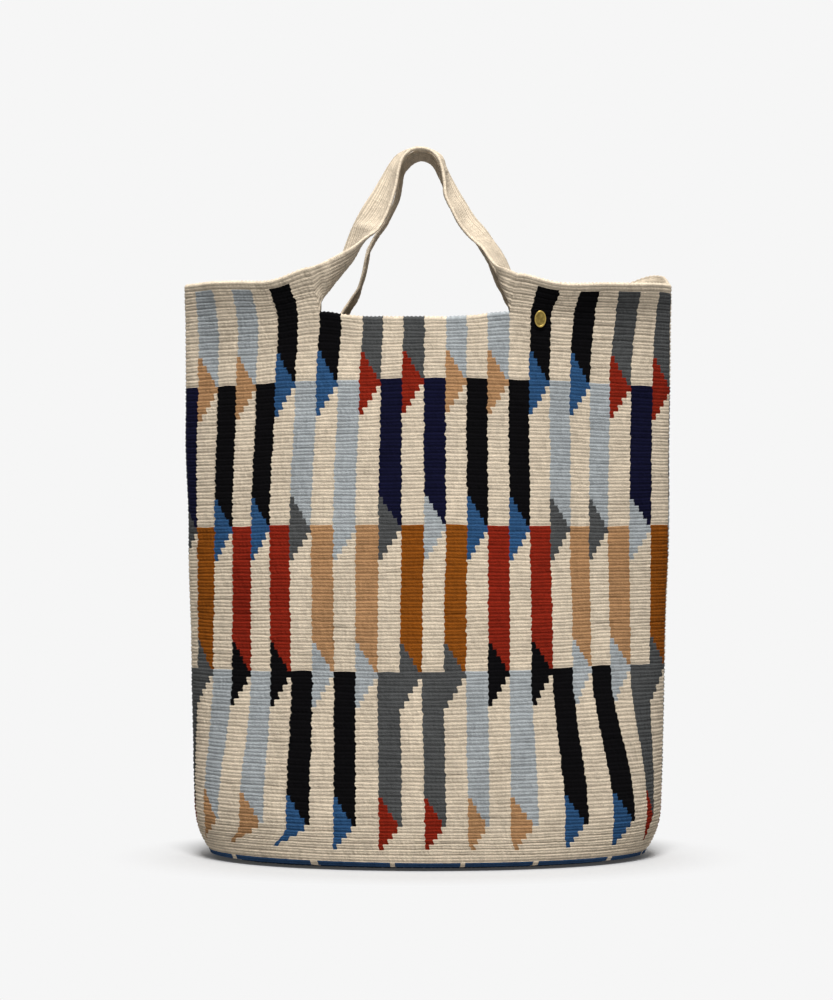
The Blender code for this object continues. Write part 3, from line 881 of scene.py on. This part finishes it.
class MESH_OT_crochet_lining(bpy.types.Operator):
    """Builds the inner face of the wall, with lower ridges"""

    bl_idname = "mesh.crochet_lining"
    bl_label = "Crochet the inner face"

    def execute(self, context):
        return crochet_face(context, "inner_face_rows", LINING_CUTS, LINING_PLACES, 2, -LINING_RELIEF,
                            context.scene.bag_sizes.cloth_thickness)


class MESH_OT_crochet_edges(bpy.types.Operator):
    """Builds the rolled rim at the two sides and the rolled edges of the openings"""

    bl_idname = "mesh.crochet_edges"
    bl_label = "Crochet the edges"

    def execute(self, context):
        bag = Bag(context.scene.bag_sizes)
        thickness = context.scene.bag_sizes.cloth_thickness
        runs = (("rim_right", FRONT_OPENING[1], BACK_OPENING[0], 0),
                ("rim_left", BACK_OPENING[1], FRONT_OPENING[0] + STITCH_COUNT, 0),
                ("opening_edge_front", *FRONT_OPENING, HANDLE_ROWS),
                ("opening_edge_back", *BACK_OPENING, HANDLE_ROWS))
        for name, first, last, row in runs:
            stitch = np.linspace(first, last, (last - first) * STITCH_STEPS + 1)
            level = np.full(stitch.shape, float(row))
            outer = bag.relief(stitch, level)
            inner = -thickness - LINING_RELIEF * outer
            points = edge_roll(bag, stitch, row, outer, inner)
            rows = row + np.linspace(*EDGE_ROW_SPAN, len(points))
            edge_yarn = yarn_of if row else None
            piece = grid_piece(name, points, stitch, rows, cotton(context), yarn=edge_yarn, flip=True)
            finish_cloth()
        return {"FINISHED"}


class MESH_OT_crochet_straps(bpy.types.Operator):
    """Builds the two handle straps, along their stations from corner to corner"""

    bl_idname = "mesh.crochet_straps"
    bl_label = "Crochet the straps"

    def execute(self, context):
        bag = Bag(context.scene.bag_sizes)
        for name, strap in STRAPS.items():
            self.add_strap(context, bag, name, **strap)
        return {"FINISHED"}

    def add_strap(self, context, bag, name, corners, stations, face):
        """A closed section of outer rows, rim roll, inner rows and edge roll, carried along the strap."""
        outer_rows = row_samples(0, HANDLE_ROWS)[::-1]
        inner_rows = row_samples(0, HANDLE_ROWS)
        angle = np.linspace(0, math.pi, EDGE_POINTS)[1:-1]
        roll = EDGE_RISE / HANDLE_ROW
        rim_rows = -np.sin(angle) * roll
        edge_rows = HANDLE_ROWS + np.sin(angle) * roll
        rows = np.concatenate([outer_rows, rim_rows, inner_rows, edge_rows])
        turned = np.concatenate([np.zeros(len(outer_rows)), angle,
                                 np.full(len(inner_rows), math.pi), angle[::-1]])

        def offsets(stitch, row, half):
            """Offset from the cloth's middle: outer relief, inner relief, and a half ellipse between."""
            relief = bag.relief(stitch, np.clip(row, 0, HANDLE_ROWS))
            out = half + STRAP_OUTER_RELIEF * relief
            back = -half - STRAP_INNER_RELIEF * relief
            return (out + back) / 2 + (out - back) / 2 * np.cos(turned)[None, :]

        points, number, share = bag.strap(corners, stations, face, rows,
                                          lambda stitch, row: offsets(stitch, row, STRAP_THICKNESS / 2))
        half = bag.sizes.cloth_thickness / 2
        for corner, end, fade in ((corners[0], 0, 1 - smooth(share / ROOT_BLEND)),
                                  (corners[1], -1, 1 - smooth((1 - share) / ROOT_BLEND))):
            level = rows.clip(0, HANDLE_ROWS)
            cloth = offsets(np.array([[float(corner)]]), rows[None, :], half)[0] - half
            root = bag.root_point(corner, level, cloth)
            root[..., 2] += (level - rows) * HANDLE_ROW
            points = points + (root - points[end]) * fade[:, None, None]
        # Rows for the maps and for the painted groove shade; the rolls take the crest's place, where none is
        # painted
        shown_rows = np.concatenate([outer_rows, np.full(len(rim_rows), CREST), inner_rows,
                                     np.full(len(edge_rows), CREST)])
        section = points.transpose(1, 0, 2)
        piece = grid_piece(f"strap_{name}", np.concatenate([section, section[:1]]), number,
                           np.append(shown_rows, shown_rows[0]), cotton(context), flip=face < 0)
        merge_points(piece, HAIR, closed=True)
        finish_cloth()


def merge_points(piece, reach, closed):
    """Merges near points, then turns a closed piece's faces outwards or drops collapsed faces."""
    mesh = bmesh.new()
    mesh.from_mesh(piece.data)
    bmesh.ops.remove_doubles(mesh, verts=mesh.verts, dist=reach)
    if closed:
        bmesh.ops.recalc_face_normals(mesh, faces=mesh.faces)
    else:
        bmesh.ops.dissolve_degenerate(mesh, edges=mesh.edges, dist=HAIR)
    mesh.to_mesh(piece.data)
    mesh.free()


class MESH_OT_crochet_base(bpy.types.Operator):
    """Builds the base and the bag's floor in rounds about a middle line"""

    bl_idname = "mesh.crochet_base"
    bl_label = "Crochet the base"

    def execute(self, context):
        """Rounds from the wall's lower edge to a line in the middle: edge * share + line * (1 - share).

        The line is as long as the base is wider than deep. The first rows swell by half a sine.
        """
        sizes = context.scene.bag_sizes
        bag = Bag(sizes)
        for name, rounds, inset, side in (("base_underside", BASE_ROUNDS, 0.0, 1),
                                          ("inner_floor", FLOOR_ROUNDS, 2 * sizes.cloth_thickness, -1)):
            stitches = np.arange(STITCH_COUNT * 2) / 2
            last = np.full(stitches.shape, float(ROW_COUNT))
            rows = row_samples(0, rounds)
            share = 1 - rows / rounds
            edge_x, edge_y, edge_z = bag.wall(stitches, last, -inset).T
            away = unit(np.stack([edge_x / edge_x.max(), 2 * edge_y / edge_y.max()], -1))
            a, b = np.abs(edge_x).max(), np.abs(edge_y).max()
            line = edge_x * (a - b) / a
            across, down = np.meshgrid(stitches, rows)
            relief = bag.relief(across, down)
            bulge = np.sin(math.pi * np.clip(rows / EDGE_ROLL_ROWS, 0, 1))[:, None]
            swell = side * (EDGE_SWELL + relief) * bulge
            x = mix(line[None, :], edge_x[None, :], share[:, None]) + swell * away[:, 0]
            y = edge_y[None, :] * share[:, None] + swell * away[:, 1]
            z = sizes.cloth_thickness + relief * LINING_RELIEF
            if side > 0:
                sunk = (SOLE_CREST - relief.clip(-SOLE_GROOVE, SOLE_CREST)) * SOLE_RELIEF
                z = edge_z * np.interp(rows, *EDGE_PROFILE)[:, None]
                z = z + sunk * smooth(rows / SOLE_START - 1)[:, None]
            piece = grid_piece(name, np.stack([x, y, z], -1), stitches, rows + ROW_COUNT,
                               cotton(context), closed=True, yarn=base_yarn)
            merge_points(piece, SEAM_REACH, closed=False)
            finish_cloth()
        return {"FINISHED"}


def base_yarn(stitch, row):
    """The base is blue, with small cream steps in its first rounds."""
    yarn = np.full(np.broadcast(stitch, row).shape, YARN["base_blue"])
    for place, width in enumerate(BASE_STEP_WIDTHS):
        near = (stitch - BASE_STEP_FIRST + width // 2) % BASE_STEP_DISTANCE < width
        yarn = np.where(near & (row == ROW_COUNT + place), YARN["cream"], yarn)
    return yarn


class MESH_OT_brass_tag(bpy.types.Operator):
    """Builds the oval tag with its raised rim, lying on the stitches"""

    bl_idname = "mesh.brass_tag"
    bl_label = "Make the brass tag"

    stitch: number("Stitch", "Stitch on which the tag lies", 82.3)
    row: number("Row", "Row from the rim on which it lies", 6.3)

    def execute(self, context):
        """The profile of heights turned about the tag's middle as an oval, on the cloth's own slope."""
        sizes = context.scene.bag_sizes
        bag = Bag(sizes)
        near = np.array([-TAG_REACH, TAG_REACH])
        upper, lower = bag.wall(np.full(2, self.stitch), self.row + near, TAG_CLOTH)
        left, right = bag.wall(self.stitch + near, np.full(2, self.row), TAG_CLOTH)
        up, along = unit(upper - lower), unit(right - left)
        out = unit(np.cross(along, up))
        side = np.cross(up, out)
        middle = (upper + lower) / 2 + out * TAG_LIFT
        angle = np.arange(TAG_POINTS) / TAG_POINTS * 2 * math.pi
        across = np.outer(TAG_PLACES, np.cos(angle)) * sizes.tag_width / 2
        upwards = np.outer(TAG_PLACES, np.sin(angle)) * sizes.tag_height / 2
        points = (middle + side * across[..., None] + up * upwards[..., None]
                  + out * TAG_HEIGHTS[:, None, None])
        piece = grid_piece("brass_tag_oval", points, angle, np.arange(len(TAG_PLACES), dtype=float),
                           brass_material(context.scene.yarn_colours), closed=True, strips=1)
        piece.data.attributes.new("hollow", "FLOAT", "POINT").data.foreach_set(
            "value", np.repeat(TAG_HOLLOW, TAG_POINTS).astype(np.float32))
        merge_points(piece, HAIR, closed=True)
        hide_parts("brass_tag")
        return {"FINISHED"}


class SCENE_OT_bag_studio(bpy.types.Operator):
    """Sets the floor, the lamps, the world and the camera"""

    bl_idname = "scene.bag_studio"
    bl_label = "Set the studio"

    def execute(self, context):
        stage = context.scene.stage_settings
        seen = tuple(stage.backdrop)
        mesh = bpy.data.meshes.new("studio_floor")
        corners = np.array([(-1, -1, 0), (1, -1, 0), (1, 1, 0), (-1, 1, 0)]) * FLOOR_REACH
        mesh.from_pydata(corners.tolist(), [], [(0, 1, 2, 3)])
        floor = bpy.data.objects.new("studio_floor", mesh)
        mesh.materials.append(stage_material("studio_paper", seen))
        context.collection.objects.link(floor)

        world = bpy.data.worlds.new("studio_light")
        context.scene.world = world
        world.use_nodes = True
        sheet = NodeSheet(world.node_tree)
        even = sheet.node("ShaderNodeBackground", {}, {
            "Color": (1, 1, 1, 1), "Strength": stage.fill_strength})["Background"]
        backdrop = sheet.node("ShaderNodeBackground", {}, {
            "Color": (*seen, 1), "Strength": 1.0})["Background"]
        both = sheet.node("ShaderNodeMixShader", {}, {
            "Fac": seen_by_eye(sheet), 1: even, 2: backdrop})["Shader"]
        sheet.node("ShaderNodeOutputWorld", {}, {"Surface": both})

        for name, (place, width, share) in LAMPS.items():
            self.add_lamp(context, name, place, width, stage.key_power * share)

        camera = bpy.data.cameras.new("studio_camera")
        camera.lens = stage.lens
        camera.sensor_width = SENSOR_WIDTH
        eye_object = bpy.data.objects.new("studio_camera", camera)
        eye_object.location = (stage.camera_side, -stage.camera_distance, stage.camera_height)
        eye_object.rotation_euler = (math.pi / 2, 0, 0)
        context.collection.objects.link(eye_object)
        context.scene.camera = eye_object
        context.scene.view_settings.view_transform = "Standard"
        return {"FINISHED"}

    def add_lamp(self, context, name, place, width, power):
        """A soft square lamp at a place, turned towards the middle of the bag."""
        lamp = bpy.data.lights.new(name, "AREA")
        lamp.size = width
        lamp.energy = power
        holder = bpy.data.objects.new(name, lamp)
        holder.location = place
        x, y, z = (there - here for there, here in zip(LAMP_AIM, place))
        holder.rotation_euler = (math.atan2(math.hypot(x, y), -z), 0, math.atan2(-x, y))
        context.collection.objects.link(holder)


OPERATORS = (MESH_OT_crochet_wall, MESH_OT_crochet_lining, MESH_OT_crochet_edges, MESH_OT_crochet_straps,
             MESH_OT_crochet_base, MESH_OT_brass_tag, SCENE_OT_bag_studio)


class VIEW3D_PT_crochet_bag(bpy.types.Panel):
    """Lists the steps that make the bag"""

    bl_label = "Crochet bag"
    bl_idname = "VIEW3D_PT_crochet_bag"
    bl_space_type = "VIEW_3D"
    bl_region_type = "UI"
    bl_category = "Crochet bag"

    def draw(self, context):
        for group in (context.scene.bag_sizes, context.scene.yarn_colours, context.scene.stage_settings):
            for name in group.bl_rna.properties.keys():
                if name not in ("rna_type", "name"):
                    self.layout.prop(group, name)
        for operator in OPERATORS:
            self.layout.operator(operator.bl_idname)


GROUPS = {"bag_sizes": BagSizes, "yarn_colours": YarnColours, "stage_settings": StageSettings}


def register():
    for group in (*GROUPS.values(), *OPERATORS, VIEW3D_PT_crochet_bag):
        bpy.utils.register_class(group)
    for name, group in GROUPS.items():
        setattr(bpy.types.Scene, name, bpy.props.PointerProperty(type=group))


def unregister():
    for name in GROUPS:
        delattr(bpy.types.Scene, name)
    for group in (VIEW3D_PT_crochet_bag, *reversed(OPERATORS), *GROUPS.values()):
        bpy.utils.unregister_class(group)


def main():
    """Makes every piece in order."""
    register()
    bpy.ops.mesh.crochet_wall()
    bpy.ops.mesh.crochet_lining()
    bpy.ops.mesh.crochet_edges()
    bpy.ops.mesh.crochet_straps()
    bpy.ops.mesh.crochet_base()
    bpy.ops.mesh.brass_tag()
    bpy.ops.scene.bag_studio()
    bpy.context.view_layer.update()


if __name__ == "__main__":
    main()
